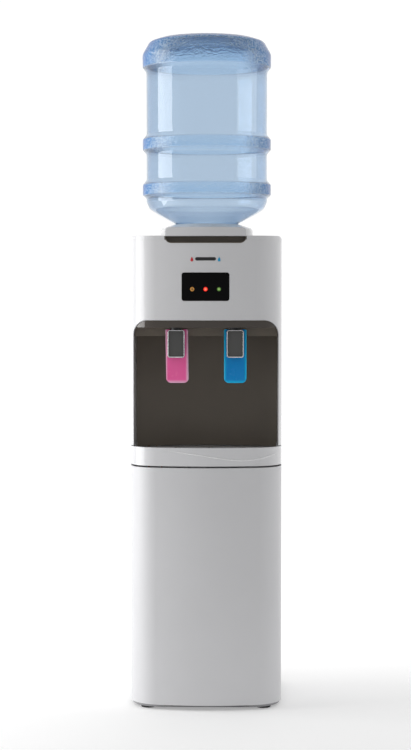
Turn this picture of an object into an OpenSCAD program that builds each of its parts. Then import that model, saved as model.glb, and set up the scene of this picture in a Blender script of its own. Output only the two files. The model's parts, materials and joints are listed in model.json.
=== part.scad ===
// Floor-standing hot and cold water dispenser with an inverted 19 litre bottle.
// Front faces -Y, +X is to the right, the floor is z = 0, and the cabinet and its rear
// condenser are centred on the origin. Millimetres.

/* [Cabinet] */
// Width across the side panels
body_w = 310; // [304:2:316]
// Depth from the crown of the front to the back of the condenser
body_d = 330; // [326:2:340]
// Radius of the bowed front
bow_r = 470; // [440:10:520]
// Radius of the vertical front corners
corner_r = 66; // [60:6:66]
// Wall of the moulded front parts
wall = 3; // [2.5:0.5:3.5]
// Thickness of the painted steel sheet
sheet_t = 1.5; // [1:0.1:1.6]

/* [Heights] */
// Underside of the lower front panel
panel_z = 10; // [8:1:12]
// Top of the lower front panel
seam_z = 495; // [493:1:497]
// Top of the drip tray's front band
tray_z = 536; // [534:1:537]
// Top of the niche opening
niche_z = 795; // [794:1:796]
// Joint between the fascia and the top cover
cover_z = 957; // [956:1:958]
// Top face of the top cover
top_z = 965; // [964:1:967]

/* [Niche] */
// Width of the niche opening
niche_w = 296; // [292:1:300]
// Radius of the opening's upper corners
niche_r = 30; // [24:1:34]
// Height of the glossy valance
valance_h = 15.5; // [14:0.5:17]
// Sideways distance from the centre to each tap
tap_x = 60; // [56:1:64]

/* [Taps] */
// Width of a lever
lever_w = 46; // [44:1:50]
// Height of a lever
lever_h = 110; // [100:1:114]
// Travel of a valve plunger
valve_travel = 3; // [2:0.5:3]

/* [Display] */
// Width of the display window
window_w = 96; // [90:1:100]
// Height of the display window
window_h = 57; // [54:1:60]
// Distance between the indicator lights
led_pitch = 27; // [24:1:29]

/* [Bottle] */
// Radius of the bottle over its rings
bottle_r = 134; // [133:0.5:136]
// Radius of the bottle between its rings
waist_r = 126; // [124:0.5:128]
// Wall of the bottle
bottle_wall = 2; // [1.5:0.1:2.5]

/* [Hidden] */
$fn = 64;

half_w = body_w / 2;
front_y = -body_d / 2;
rear_y = body_d / 2;
back_y = rear_y - 27;
bow_y = front_y + bow_r;
corner_x = half_w - corner_r;
corner_y = bow_y - sqrt(pow(bow_r - corner_r, 2) - corner_x * corner_x);
// Mouldings end and the steel sides begin here
split_y = -86;
gap = 0.5;
fit = 0.3;

// Niche liner
cheek_x = niche_w / 2 - 1;
cheek_t = 2;
bulkhead_y = -98;
ledge_z = 761;
wall_mid_y = 15;
wall_side_y = -23;
wall_sag = wall_mid_y - wall_side_y;
wall_r = (cheek_x * cheek_x + wall_sag * wall_sag) / (2 * wall_sag);
liner_t = 2.5;

// Drip tray
tray_x = 140;
tray_back_y = -30;
// Front ends of the strips beside the tray
strip_y = -93;
tray_floor_z = 506;
// The grille and the floor behind it lie below the rim of the front band
shelf_z = tray_z - 9;
grille_t = 2.5;
grille_z = shelf_z - 0.5 - grille_t;

// Taps
spout_y = -126;
tail_z = niche_z - 21;
tail_r = 7;
tail_end_y = -62;
chamber_z0 = 730;
chamber_z1 = 765;
pin_y = -106;
pin_z = niche_z - 31;
pin_r = 2;
pin_clear = 0.04;
lever_t = 6;
lever_top_z = niche_z - 20;
cover_w = 32;
cover_h = 54;
cover_mid_z = lever_top_z - 2 - cover_h / 2;
cover_front_y = -141;
cover_rear_y = -113;

// Bottle, seat and tanks share one vertical axis
axis_y = -12;
seat_top_z = 992;
seat_r = 96;
// The flange passes up through the hole in the top cover
seat_flange_r = 82;
cone_slope = 21 / 39;
tank_r = 100;
tank_z0 = 812;
tank_z1 = 925;
coil_r = 3;
jacket_r = 120;
hot_y = 78;
hot_r = 42;
hot_z0 = 580;
hot_z1 = 760;
jacket_hot_r = 54;

// Rear equipment
condenser_y = rear_y - 5.4;
condenser_x = 115;
condenser_z0 = 342;
condenser_pitch = 37;
condenser_runs = 15;
condenser_z1 = condenser_z0 + (condenser_runs - 1) * condenser_pitch;
condenser_tube_r = 2.4;
wire_r = 0.75;
service_z = 282;
drain_x = -90;
switch_x = 85;
gland_x = 15;
compressor_y = 35;
back_z0 = 240;
drier_x = -60;
drier_y = 118;

MOULDING = [0.86, 0.86, 0.88];
STEEL = [0.80, 0.80, 0.82];
BROWN = [0.28, 0.25, 0.23];
COPPER = [0.72, 0.42, 0.28];
DARK = [0.12, 0.12, 0.13];

// ---- Shared outlines ----

// Cabinet seen from above, shrunk all round by inset
module plan(inset = 0) {
  reach = 1.3;
  intersection() {
    translate([0, bow_y]) circle(r = bow_r - inset, $fn = 360);
    polygon([
      [-corner_x, corner_y],
      [corner_x, corner_y],
      [corner_x * reach, bow_y + (corner_y - bow_y) * reach],
      [-corner_x * reach, bow_y + (corner_y - bow_y) * reach]
    ]);
  }
  for (side = [-1, 1]) translate([side * corner_x, corner_y]) circle(r = corner_r - inset);
  translate([-half_w + inset, corner_y])
    square([body_w - 2 * inset, back_y - inset - corner_y]);
}

// Unit vector at angle a
function turned(a) = [cos(a), sin(a)];

// Points of an arc about c from angle a to angle b
function arc(c, r, a, b, n = 8) = [for (i = [0:n]) c + r * turned(a + (b - a) * i / n)];

// Rectangle centred on x = 0, standing on y = 0, with its own radius for each pair of corners
module tile(w, h, r_low, r_high) {
  x = w / 2;
  polygon(concat(
    arc([x - r_low, r_low], r_low, -90, 0),
    arc([x - r_high, h - r_high], r_high, 0, 90),
    arc([-x + r_high, h - r_high], r_high, 90, 180),
    arc([-x + r_low, r_low], r_low, 180, 270)
  ));
}

// Stands an outline drawn in x and z upright between two depths
module upright(y0, y1) {
  translate([0, y1, 0]) rotate([90, 0, 0]) linear_extrude(height = y1 - y0) children();
}

module slab(x0, x1, y0, y1, z0, z1) {
  translate([x0, y0, z0]) cube([x1 - x0, y1 - y0, z1 - z0]);
}

module rod_x(x0, x1, y, z, r) {
  translate([x0, y, z]) rotate([0, 90, 0]) cylinder(h = x1 - x0, r = r);
}

module rod_y(x, y0, y1, z, r) {
  translate([x, y1, z]) rotate([90, 0, 0]) cylinder(h = y1 - y0, r = r);
}

module rod_z(x, y, z0, z1, r) {
  translate([x, y, z0]) cylinder(h = z1 - z0, r = r);
}

// Moulded skin that follows the front and wraps both corners
module front_skin(z0, z1, outer = 0, inner = wall) {
  translate([0, 0, z0]) linear_extrude(height = z1 - z0) intersection() {
    difference() {
      plan(outer);
      plan(inner);
    }
    translate([-half_w - 1, front_y - 1]) square([body_w + 2, split_y - front_y + 1]);
  }
}

// ---- Swept tubes ----

function unit(v) = v / norm(v);
function spline(a, b, c, d, t) =
  0.5 * (2 * b + (c - a) * t + (2 * a - 5 * b + 4 * c - d) * t * t + (3 * b - a - 3 * c + d) * t * t * t);
// Route through the points, straight over its first and last stretches
function smooth_route(p, n) = [
  p[0],
  for (i = [1:len(p) - 3])
    for (k = [0:n - 1])
      spline(p[i - 1], p[i], p[i + 1], p[i + 2], k / n),
  p[len(p) - 2],
  p[len(p) - 1]
];
function direction(p, i) = unit(p[min(i + 1, len(p) - 1)] - p[max(i - 1, 0)]);

// Closed tube along a route, whose rings are turned towards the side vector
module tube(p, r, side, sides = 10) {
  n = len(p);
  rings = [
    for (i = [0:n - 1])
      let (t = direction(p, i), u = unit(cross(t, side)), v = cross(t, u))
        for (j = [0:sides - 1])
          p[i] + r * (cos(360 * j / sides) * u + sin(360 * j / sides) * v)
  ];
  skin = [
    for (i = [0:n - 2])
      for (j = [0:sides - 1])
        let (k = (j + 1) % sides)
          each [
            [i * sides + j, (i + 1) * sides + k, i * sides + k],
            [i * sides + j, (i + 1) * sides + j, (i + 1) * sides + k]
          ]
  ];
  start = [[for (j = [0:sides - 1]) j]];
  finish = [[for (j = [0:sides - 1]) n * sides - 1 - j]];
  polyhedron(points = rings, faces = concat(skin, start, finish));
}

// ---- Base and cabinet ----

module base_outline(inset) {
  intersection() {
    plan(inset);
    translate([-half_w, front_y + 13]) square([body_w, body_d]);
  }
}

foot_places = [for (x = [-118, 118], y = [-122, 108]) [x, y]];
mount_places = [for (x = [-70, 70], y = [-45, 45]) [x, compressor_y + y]];

module base_pan() {
  color(STEEL) difference() {
    translate([0, 0, 5]) linear_extrude(height = 25) base_outline(3.5);
    translate([0, 0, 5 + sheet_t]) linear_extrude(height = 25) base_outline(3.5 + sheet_t);
    for (p = foot_places) rod_z(p[0], p[1], 4, 8, 4.3);
    for (p = mount_places) rod_z(p[0], p[1], 4, 8, 4.3);
  }
}

module feet() {
  color(DARK) for (p = foot_places) translate([p[0], p[1], 0]) {
    rotate_extrude() polygon([[0, 0], [14, 0], [15, 1], [15, 3.5], [13, 4.7], [4, 4.7], [4, 20], [0, 20]]);
  }
}

module side_panel(side) {
  color(STEEL) mirror([side > 0 ? 0 : 1, 0, 0]) difference() {
    union() {
      slab(half_w - sheet_t, half_w, split_y + gap, back_y - sheet_t - fit, 12, cover_z - gap);
      slab(half_w - 14, half_w, back_y - 2 * sheet_t - fit, back_y - sheet_t - fit, 12, cover_z - gap);
    }
    for (z = screw_heights) rod_y(screw_x, back_y - 10, back_y, z, 2);
  }
}
module side_panel_left() { side_panel(-1); }
module side_panel_right() { side_panel(1); }

screw_x = half_w - 8;
screw_heights = [260, 480, 700, 920];

module back_panel() {
  color(STEEL) difference() {
    slab(-half_w + 2, half_w - 2, back_y - sheet_t, back_y, back_z0, cover_z - gap);
    for (x = [-screw_x, screw_x], z = screw_heights) rod_y(x, back_y - 5, back_y + 1, z, 2);
    rod_y(drain_x, back_y - 5, back_y + 1, service_z, 9.3);
    rod_y(gland_x, back_y - 5, back_y + 1, service_z, 8.3);
    slab(switch_x - 24, switch_x + 24, back_y - 5, back_y + 1, service_z - 13, service_z + 13);
    for (z = [bracket_low_z, bracket_high_z], x = bracket_places) rod_y(x, back_y - 5, back_y + 1, z - 10, 2);
    // Louvres
    for (i = [0:5]) slab(-60, 60, back_y - 5, back_y + 1, 900 + 7 * i, 903 + 7 * i);
  }
}

module panel_screws() {
  color("silver") for (x = [-screw_x, screw_x], z = screw_heights) translate([x, 0, z]) rotate([-90, 0, 0])
    translate([0, 0, back_y]) rotate_extrude()
      polygon([[0, -8], [1.7, -6.5], [1.7, 0], [3.6, 0], [3, 1.8], [0, 2.4]]);
}

module lower_front_panel() {
  color(MOULDING) front_skin(panel_z, seam_z);
}

// ---- Drip tray ----

module tray_housing() {
  side_x = tray_x + 1;
  color(MOULDING) {
    difference() {
      union() {
        // Shelf under the tray
        translate([0, 0, seam_z + 4.5]) linear_extrude(height = 2.5) intersection() {
          plan(wall + 1.5);
          translate([-cheek_x + 1, front_y]) square([2 * cheek_x - 2, -front_y + 10]);
        }
        // Floor behind the tray, up to the back wall of the niche
        translate([0, 0, seam_z + 5]) linear_extrude(height = shelf_z - seam_z - 5) intersection() {
          translate([0, wall_mid_y - wall_r]) circle(r = wall_r - fit, $fn = 240);
          translate([-cheek_x + fit, tray_back_y + gap]) square([2 * cheek_x - 2 * fit, 80]);
        }
        for (side = [-1, 1]) mirror([side > 0 ? 0 : 1, 0, 0]) {
          slab(side_x, cheek_x - fit, strip_y, tray_back_y + 2, seam_z + 5, shelf_z);
          slab(cheek_x - 2, cheek_x - fit, strip_y, wall_side_y - 3, shelf_z - 1, tray_z + 1);
        }
      }
      // Hollow under the rear floor and the side strips
      translate([0, 0, seam_z + 7]) linear_extrude(height = shelf_z - seam_z - 9.5) intersection() {
        translate([0, wall_mid_y - wall_r]) circle(r = wall_r - 3, $fn = 240);
        translate([-cheek_x + 3, tray_back_y + 3]) square([2 * cheek_x - 6, 80]);
      }
      for (side = [-1, 1]) mirror([side > 0 ? 0 : 1, 0, 0])
        slab(side_x + 1.5, cheek_x - 2, strip_y + 2, tray_back_y + 4, seam_z + 7, shelf_z - 2.5);
    }
  }
}

// Basin outline: straight sides and rear, bowed front
module basin(inset, front_inset) {
  intersection() {
    plan(front_inset);
    translate([-tray_x + inset, front_y]) square([2 * tray_x - 2 * inset, tray_back_y - inset - front_y]);
  }
}

module drip_tray() {
  color(MOULDING) {
    difference() {
      union() {
        front_skin(seam_z + 3.5, tray_z);
        translate([0, 0, tray_floor_z]) linear_extrude(height = shelf_z - tray_floor_z) basin(0, 2);
        // Rim that closes the front corners
        translate([0, 0, shelf_z - 2.5]) linear_extrude(height = 2.5) intersection() {
          plan(2);
          translate([-half_w, front_y]) square([body_w, strip_y - 1 - front_y]);
        }
      }
      translate([0, 0, tray_floor_z + 2.5]) linear_extrude(height = tray_z) basin(5.5, 9);
      translate([0, 0, grille_z - fit]) linear_extrude(height = 20) basin(2.5, 6);
    }
  }
}

rib_places = [-60, 9, 78];
rib_w = 9;
module drip_grille() {
  edges = concat([-124], [for (x = rib_places) each [x - rib_w / 2 - 3, x + rib_w / 2 + 3]], [124]);
  color(MOULDING) {
    difference() {
      translate([0, 0, grille_z]) linear_extrude(height = grille_t) basin(3, 6.5);
      for (y = [-130:11:-42], i = [0:len(rib_places)])
        slab(edges[2 * i], edges[2 * i + 1], y, y + 4.5, grille_z - 5, grille_z + 5);
    }
    // Raised ribs that hold a cup clear of the slots
    for (x = rib_places) difference() {
      rod_y(x, -134, -40, grille_z + 1, rib_w / 2);
      slab(x - 10, x + 10, -150, -20, grille_z - 10, grille_z + 0.5);
    }
  }
}

// ---- Fascia and niche ----

module niche_outline(grow) {
  low = seam_z;
  translate([0, low]) tile(niche_w + 2 * grow, niche_z + grow - low, 0.5, niche_r + grow);
}

module niche_ring() {
  difference() {
    niche_outline(cheek_t - 1);
    niche_outline(-1);
  }
}

module upper_fascia() {
  color(MOULDING) {
    difference() {
      front_skin(tray_z + 1.5, cover_z);
      upright(front_y - 10, split_y + 10) niche_outline(0);
      upright(front_y - 10, split_y + 10) recess_outline(1.7);
      upright(front_y - 10, split_y) window_outline(fit);
    }
    // Arch over the niche, back to the bulkhead
    intersection() {
      upright(front_y, bulkhead_y + 3) niche_ring();
      translate([0, 0, tray_z + 1.5]) linear_extrude(height = 400) plan(1);
    }
    // Cheeks, back to the edges of the concave wall
    intersection() {
      upright(bulkhead_y, wall_side_y) niche_ring();
      slab(-half_w, half_w, -200, 0, tray_z + 1.5, ledge_z + 2);
    }
  }
}

module niche_liner() {
  side_x = cheek_x - fit;
  color(BROWN) {
    difference() {
      union() {
        // Concave back wall
        translate([0, 0, shelf_z + 1]) linear_extrude(height = ledge_z - shelf_z + 1) difference() {
          intersection() {
            translate([0, wall_mid_y - wall_r]) circle(r = wall_r + liner_t, $fn = 240);
            translate([-side_x, wall_side_y - 10]) square([2 * side_x, 100]);
          }
          translate([0, wall_mid_y - wall_r]) circle(r = wall_r, $fn = 240);
        }
        // Ledge over the back wall, and the bulkhead that carries the taps
        translate([0, 0, ledge_z]) linear_extrude(height = 2.5) intersection() {
          translate([0, wall_mid_y - wall_r]) circle(r = wall_r + liner_t, $fn = 240);
          translate([-side_x, bulkhead_y]) square([2 * side_x, 200]);
        }
        upright(bulkhead_y, bulkhead_y + 3) intersection() {
          niche_outline(-1.6);
          translate([-half_w, ledge_z]) square([body_w, 100]);
        }
      }
      for (side = [-1, 1]) rod_y(side * tap_x, bulkhead_y - 5, bulkhead_y + 5, tail_z, tail_r + 0.4);
    }
  }
}

module valance() {
  color([0.2, 0.18, 0.17]) intersection() {
    front_skin(niche_z - valance_h, niche_z - fit, wall - 1, wall + 2);
    upright(front_y, split_y - 10) niche_outline(-1.6);
  }
}

// ---- Top cover and finger recess ----

recess_z = cover_z - 5.4;
recess_w = 162;
module recess_outline(grow) {
  translate([0, recess_z - grow]) tile(recess_w + 2 * grow, 30, 12 + grow, 1);
}

module top_cover() {
  color(MOULDING) {
    difference() {
      intersection() {
        translate([0, 0, cover_z]) linear_extrude(height = top_z - cover_z) plan(0);
        upright(-200, 200) translate([0, 900]) tile(body_w, top_z - 900, 1, 8);
      }
      rod_z(0, axis_y, 900, 1000, seat_flange_r + 2);
      // Hollow underneath, with a rib round the hole
      difference() {
        translate([0, 0, cover_z - 1]) linear_extrude(height = top_z - cover_z - 2) plan(wall);
        rod_z(0, axis_y, 900, 1000, seat_flange_r + 4.5);
      }
      slab(-recess_w / 2 - 2, recess_w / 2 + 2, -200, front_y + 27, cover_z - 1, top_z - 1);
    }
    // Tongue over the finger recess
    difference() {
      intersection() {
        translate([0, 0, top_z - 2]) linear_extrude(height = 19) plan(0.2);
        upright(front_y - 5, -60) translate([0, top_z - 1]) tile(163, 18, 0.5, 8);
      }
      rod_z(0, axis_y, 900, 1000, seat_r + 0.4);
      difference() {
        slab(-78, 78, front_y + 30, -60, top_z - 10, top_z + 14);
        rod_z(0, axis_y, 900, 1000, seat_r + 3.4);
      }
    }
  }
}

module grip_recess() {
  color(BROWN) intersection() {
    union() {
      upright(front_y, front_y + 25) difference() {
        recess_outline(1.5);
        recess_outline(0);
      }
      upright(front_y + 25, front_y + 26.5) recess_outline(1.5);
    }
    translate([0, 0, recess_z - 5]) linear_extrude(height = top_z - 1.3 - recess_z + 5) plan(0.6);
  }
}

// ---- Display ----

window_z = 862 - window_h / 2;
led_z = 857;
module window_outline(grow) {
  translate([0, window_z - grow]) tile(window_w + 2 * grow, window_h + 2 * grow, 5, 5);
}

module display_window() {
  color([0.02, 0.02, 0.02]) difference() {
    intersection() {
      translate([0, 0, 800]) linear_extrude(height = 120) difference() {
        plan(0);
        plan(wall - 0.5);
      }
      upright(front_y - 1, front_y + 20) window_outline(0);
    }
    for (i = [-1:1]) rod_y(i * led_pitch, front_y - 5, front_y + 20, led_z, 4.3);
  }
}

module led(i) {
  base = front_y + i * i * led_pitch * led_pitch / (2 * bow_r) + 0.2;
  translate([i * led_pitch, 0, led_z]) rotate([-90, 0, 0]) translate([0, 0, base])
    rotate_extrude() polygon(concat(
      [[0, 14], [0, 0]],
      [for (a = [15:15:90]) [4 * sin(a), 2 * (1 - cos(a))]],
      [[4, 10], [4.8, 10], [4.8, 14]]));
}
module led_heat() { color("orange") led(-1); }
module led_power() { color("red") led(0); }
module led_cool() { color("limegreen") led(1); }

module indicator_board() {
  color([0.1, 0.35, 0.2]) difference() {
    slab(-45, 45, front_y + 16, front_y + 17.6, led_z - 20, led_z + 24);
    for (x = [-41, 41], z = [led_z - 16, led_z + 20]) rod_y(x, front_y + 10, front_y + 20, z, 1.6);
  }
}

// ---- Taps and levers ----

module lever(x) {
  slot = 25;
  translate([x, 0, 0]) difference() {
    upright(pin_y - lever_t / 2, pin_y + lever_t / 2) translate([0, lever_top_z - lever_h]) difference() {
      tile(lever_w, lever_h, 10, 1.5);
      translate([-slot / 2, lever_h - 34]) square([slot, 40]);
    }
    rod_x(-40, 40, pin_y, pin_z, pin_r + pin_clear);
  }
}
module hot_lever() { color([0.84, 0.39, 0.57]) lever(-tap_x); }
module cold_lever() { color([0, 0.47, 0.71]) lever(tap_x); }

module lever_pins() {
  color("silver") for (side = [-1, 1]) rod_x(side * tap_x - 22, side * tap_x + 22, pin_y, pin_z, pin_r);
}

module tap_body(x) {
  translate([x, 0, 0]) difference() {
    union() {
      rod_z(0, spout_y, 722, tail_z + 9, 11);
      rod_z(0, spout_y, 720, 723, 7);
      rod_y(0, spout_y + 6, tail_end_y, tail_z, tail_r);
      slab(-12, 12, spout_y + 8, pin_y + 5, pin_z - 6, pin_z + 5);
    }
    rod_z(0, spout_y, chamber_z0, chamber_z1, 8);
    rod_z(0, spout_y, 700, chamber_z0 + 1, 4.5);
    rod_z(0, spout_y + 7, 750, tail_z, 2.5);
    rod_y(0, spout_y + 7, tail_end_y + 5, tail_z, 4);
    rod_x(-20, 20, pin_y, pin_z, pin_r + 0.02);
  }
}
module hot_tap_body() { color("white") tap_body(-tap_x); }
module cold_tap_body() { color("white") tap_body(tap_x); }

module tap_nuts() {
  color("white") for (side = [-1, 1]) translate([side * tap_x, 0, 0]) difference() {
    translate([0, bulkhead_y + 12, tail_z]) rotate([90, 0, 0]) cylinder(h = 8.8, r = 11.5, $fn = 6);
    rod_y(0, bulkhead_y, bulkhead_y + 20, tail_z, tail_r + 0.05);
  }
}

module valve(x) {
  stem_top = chamber_z1 - 1 - valve_travel;
  translate([x, spout_y, 0]) rotate_extrude() polygon([
    [0, chamber_z0 + 1.5], [6, chamber_z0 + 1.5], [7.6, chamber_z0 + 2.5], [7.6, chamber_z0 + 4.5],
    [3, chamber_z0 + 4.5], [3, stem_top], [0, stem_top]
  ]);
}
module hot_valve() { color("dimgray") valve(-tap_x); }
module cold_valve() { color("dimgray") valve(tap_x); }

spring_z0 = chamber_z0 + 6;
spring_z1 = chamber_z1 - 1.2;
module spring(x) {
  turns = 6;
  steps = 12;
  route = [for (i = [0:turns * steps]) [
    x + 5.4 * cos(360 * i / steps),
    spout_y + 5.4 * sin(360 * i / steps),
    spring_z0 + (spring_z1 - spring_z0) * i / (turns * steps)
  ]];
  tube(route, 0.6, [0, 0, 1], 6);
}
module hot_spring() { color("silver") spring(-tap_x); }
module cold_spring() { color("silver") spring(tap_x); }

module spout_cover(x) {
  translate([x, 0, 0]) difference() {
    upright(cover_front_y, cover_rear_y) translate([0, cover_mid_z - cover_h / 2]) tile(cover_w, cover_h, 4, 4);
    rod_z(0, spout_y, 700, 800, 11.3);
    slab(-12.3, 12.3, spout_y, -100, 700, 800);
  }
}
module hot_spout_cover() { color([0.4, 0.4, 0.41]) spout_cover(-tap_x); }
module cold_spout_cover() { color([0.4, 0.4, 0.41]) spout_cover(tap_x); }

module spout_bezel(x) {
  low = cover_mid_z - cover_h / 2;
  translate([x, 0, 0]) difference() {
    upright(cover_front_y - 1.5, cover_front_y + 3.5)
      translate([0, low - 1.5]) tile(cover_w + 3, cover_h + 3, 5, 5);
    upright(cover_front_y - 0.2, cover_front_y + 6)
      translate([0, low - 0.1]) tile(cover_w + 0.2, cover_h + 0.2, 4, 4);
    upright(cover_front_y - 3, cover_front_y + 6)
      translate([0, low + 6]) tile(cover_w - 1.5, cover_h - 7, 3, 3);
  }
}
module hot_spout_bezel() { color("gainsboro") spout_bezel(-tap_x); }
module cold_spout_bezel() { color("gainsboro") spout_bezel(tap_x); }

// ---- Bottle and seat ----

function cone_z(r) = seat_top_z + 0.4 + (r - 66) * cone_slope;

module bottle_seat() {
  lip_r = 67;
  color(MOULDING) translate([0, axis_y, 0]) difference() {
    rotate_extrude() polygon([
      [72, top_z + fit], [seat_r, top_z + fit], [seat_r, top_z + 12], [seat_r - 1, top_z + 16],
      [seat_r - 4, top_z + 19], [lip_r, seat_top_z], [lip_r - 2, seat_top_z - 1.4], [38, cone_z(38) - 0.8],
      [36, 972], [36, 896], [9.2, 896], [9.2, 918], [6, 926], [4, 926], [4, 888], [38.5, 888],
      [38.5, 931], [seat_flange_r, 931], [seat_flange_r, 934], [42, 934], [40.5, 938], [40.5, 973],
      [lip_r, 988], [seat_r - 6.2, 981], [seat_r - 3.2, 975.3], [seat_r - 3.2, 968.5], [72, 968.5]
    ]);
    // Water ports in the feed spike
    for (a = [0:90:270]) rotate([0, 0, a]) rod_x(3, 12, 0, 906, 1.6);
  }
}

module seat_seal() {
  color(DARK) translate([0, axis_y, 0]) rotate_extrude()
    translate([seat_flange_r - 4.5, 928]) circle(r = 2.9, $fn = 24);
}

// Outside of the bottle from the neck to the base
neck_r = 28;
bottle_top_z = 1377;
outside = [
  [neck_r, 904], [neck_r, cone_z(neck_r + 4) - 3], [neck_r + 4, cone_z(neck_r + 4)],
  [103, cone_z(103)], [115, 1019], [123, 1029], [waist_r, 1040], [bottle_r - 0.5, 1052],
  [bottle_r - 0.5, 1073], [waist_r, 1088], [waist_r, 1134], [bottle_r - 0.5, 1148],
  [bottle_r - 0.5, 1168], [waist_r, 1182], [waist_r + 1, 1306], [bottle_r - 1, 1317],
  [bottle_r, 1325], [bottle_r, 1342], [129, 1360], [119, 1370], [103, 1376],
  [94, bottle_top_z], [83, bottle_top_z - 2], [60, bottle_top_z - 10]
];
function inside_point(p) = p[1] > 1350
  ? [max(p[0] - 0.6 * bottle_wall, 0), p[1] - bottle_wall]
  : [p[0] - bottle_wall, p[1] + 0.4 * bottle_wall];

module bottle() {
  n = len(outside);
  inner = [for (i = [n - 1:-1:1]) inside_point(outside[i])];
  color([0.45, 0.65, 0.85, 0.6]) translate([0, axis_y, 0]) rotate_extrude($fn = 96) polygon(concat(
    outside,
    [[0, bottle_top_z - 12], [0, bottle_top_z - 12 - bottle_wall]],
    inner,
    [[neck_r - bottle_wall, 904]]
  ));
}

module bottle_cap() {
  color([0.2, 0.4, 0.75]) translate([0, axis_y, 0]) rotate_extrude() polygon([
    [9.6, 901], [30, 901], [31.5, 903], [31.5, 940], [28.2, 940], [28.2, 903.6], [11.5, 903.6],
    [11.5, 930], [9.6, 930]
  ]);
}

// ---- Cold water ----

cold_outlet = [tap_x, -30];
feed_outlet = [40, 45];

module cold_tank() {
  color("silver") difference() {
    union() {
      translate([0, axis_y, 0]) rotate_extrude() polygon([
        [0, tank_z0], [tank_r, tank_z0], [tank_r, tank_z1], [seat_flange_r - 8, tank_z1],
        [seat_flange_r - 8, tank_z1 - sheet_t], [tank_r - sheet_t, tank_z1 - sheet_t],
        [tank_r - sheet_t, tank_z0 + sheet_t], [0, tank_z0 + sheet_t]
      ]);
      for (p = [cold_outlet, feed_outlet]) rod_z(p[0], p[1], 797, tank_z0 + 1, 6);
    }
    for (p = [cold_outlet, feed_outlet]) rod_z(p[0], p[1], 790, tank_z0 + 5, 4.5);
  }
}

module evaporator_coil() {
  turns = 5;
  steps = 32;
  r = tank_r + coil_r + 0.9;
  color(COPPER) tube([for (i = [0:turns * steps]) [
    r * cos(90 + 360 * i / steps), axis_y + r * sin(90 + 360 * i / steps), 832 + 12 * i / steps
  ]], coil_r, [0, 0, 1], 8);
}

module tank_insulation() {
  color("ivory") difference() {
    rod_z(0, axis_y, 801.2, tank_z1 - 3, jacket_r);
    rod_z(0, axis_y, tank_z0 - 0.5, tank_z1 + 5, tank_r + 2 * coil_r + 1);
    for (p = [cold_outlet, feed_outlet]) rod_z(p[0], p[1], 790, 830, 7.5);
    slab(-14, 10, 70, 130, 820, 902);
  }
}

module tank_bracket() {
  color(STEEL) difference() {
    slab(-half_w + 8, half_w - 8, -90, back_y - 4, 799, 801);
    for (p = [cold_outlet, feed_outlet]) rod_z(p[0], p[1], 790, 830, 12);
    slab(-130, -112, 90, 125, 790, 830);
  }
}

// ---- Hot water ----

module hot_tank() {
  color("silver") difference() {
    union() {
      translate([0, hot_y, 0]) rotate_extrude() polygon([
        [12, hot_z0], [hot_r - 6, hot_z0], [hot_r, hot_z0 + 6], [hot_r, hot_z1 - 6],
        [hot_r - 6, hot_z1], [0, hot_z1], [0, hot_z1 - sheet_t], [hot_r - 6.6, hot_z1 - sheet_t],
        [hot_r - sheet_t, hot_z1 - 6.6], [hot_r - sheet_t, hot_z0 + 6.6],
        [hot_r - 6.6, hot_z0 + sheet_t], [12, hot_z0 + sheet_t]
      ]);
      for (x = [-28, 28]) rod_z(x, hot_y, 566, hot_z0 + 1, 6);
      rod_z(-20, hot_y - 12, hot_z1 - 1, hot_z1 + 10, 6);
    }
    for (x = [-28, 28]) rod_z(x, hot_y, 560, hot_z0 + 5, 4.5);
    rod_z(-20, hot_y - 12, hot_z1 - 5, hot_z1 + 20, 4.5);
  }
}

module hot_tank_jacket() {
  color("ivory") difference() {
    rod_z(0, hot_y, hot_z0 + 8, hot_z1 - 8, jacket_hot_r);
    rod_z(0, hot_y, hot_z0, hot_z1, hot_r + fit);
  }
}

module heating_element() {
  color("dimgray") {
    for (x = [-7, 7]) rod_z(x, hot_y, hot_z0 - 4, 700, 3);
    translate([0, hot_y, 700]) rotate([90, 0, 0]) rotate_extrude(angle = 180) translate([7, 0]) circle(r = 3);
    rod_z(0, hot_y, hot_z0 - 6, hot_z0 - 0.2, 19);
    for (x = [-9, 9]) rod_z(x, hot_y, hot_z0 - 16, hot_z0 - 5, 2);
  }
}

module thermal_cutouts() {
  color(DARK) for (x = [4, 26]) {
    rod_z(x, hot_y + 14, hot_z1 + 0.1, hot_z1 + 7, 8);
    for (dx = [-4, 4]) slab(x + dx - 0.5, x + dx + 0.5, hot_y + 11, hot_y + 17, hot_z1 + 6, hot_z1 + 14);
  }
}

module cold_thermostat() {
  color("gray") {
    slab(96, 132, 95, 120, 840, 885);
    rod_y(114, 82, 96, 862, 5);
    slab(100, 104, 90, 96, 846, 852);
  }
}

// ---- Hoses ----

cold_tap_route = [
  [tap_x, tail_end_y + gap, tail_z], [tap_x, -52, tail_z], [tap_x, -38, tail_z + 5],
  [tap_x, -30, tail_z + 14], [tap_x, -30, 796.5]
];
hot_tap_route = [
  [-20, hot_y - 12, 770.5], [-20, hot_y - 12, 776], [-28, 52, 782], [-42, 25, 783], [-56, -12, 780],
  [-tap_x, -46, tail_z], [-tap_x, tail_end_y + gap, tail_z]
];
feed_route = [
  [40, 45, 796.5], [40, 45, 788], [52, 60, 776], [66, 78, 760], [68, 82, 700], [68, 82, 600],
  [62, 80, 562], [46, 78, 544], [28, 78, 552], [28, 78, 565.5]
];
drain_route = [
  [-28, 78, 565.5], [-28, 78, 550], [-34, 80, 520], [-60, 96, 440], [-86, 108, 360],
  [drain_x, 108, 310], [drain_x, 108, 292], [drain_x, 114, service_z], [drain_x, back_y - 14.5, service_z]
];

module water_hoses() {
  color("whitesmoke") {
    tube(smooth_route(cold_tap_route, 4), 6.5, [1, 0, 0]);
    tube(smooth_route(hot_tap_route, 4), 6.5, [1, 0.3, 0]);
    tube(smooth_route(feed_route, 4), 6.5, [0, 1, 0.01]);
    tube(smooth_route(drain_route, 4), 6.5, [1, 0, 0]);
  }
}

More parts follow.
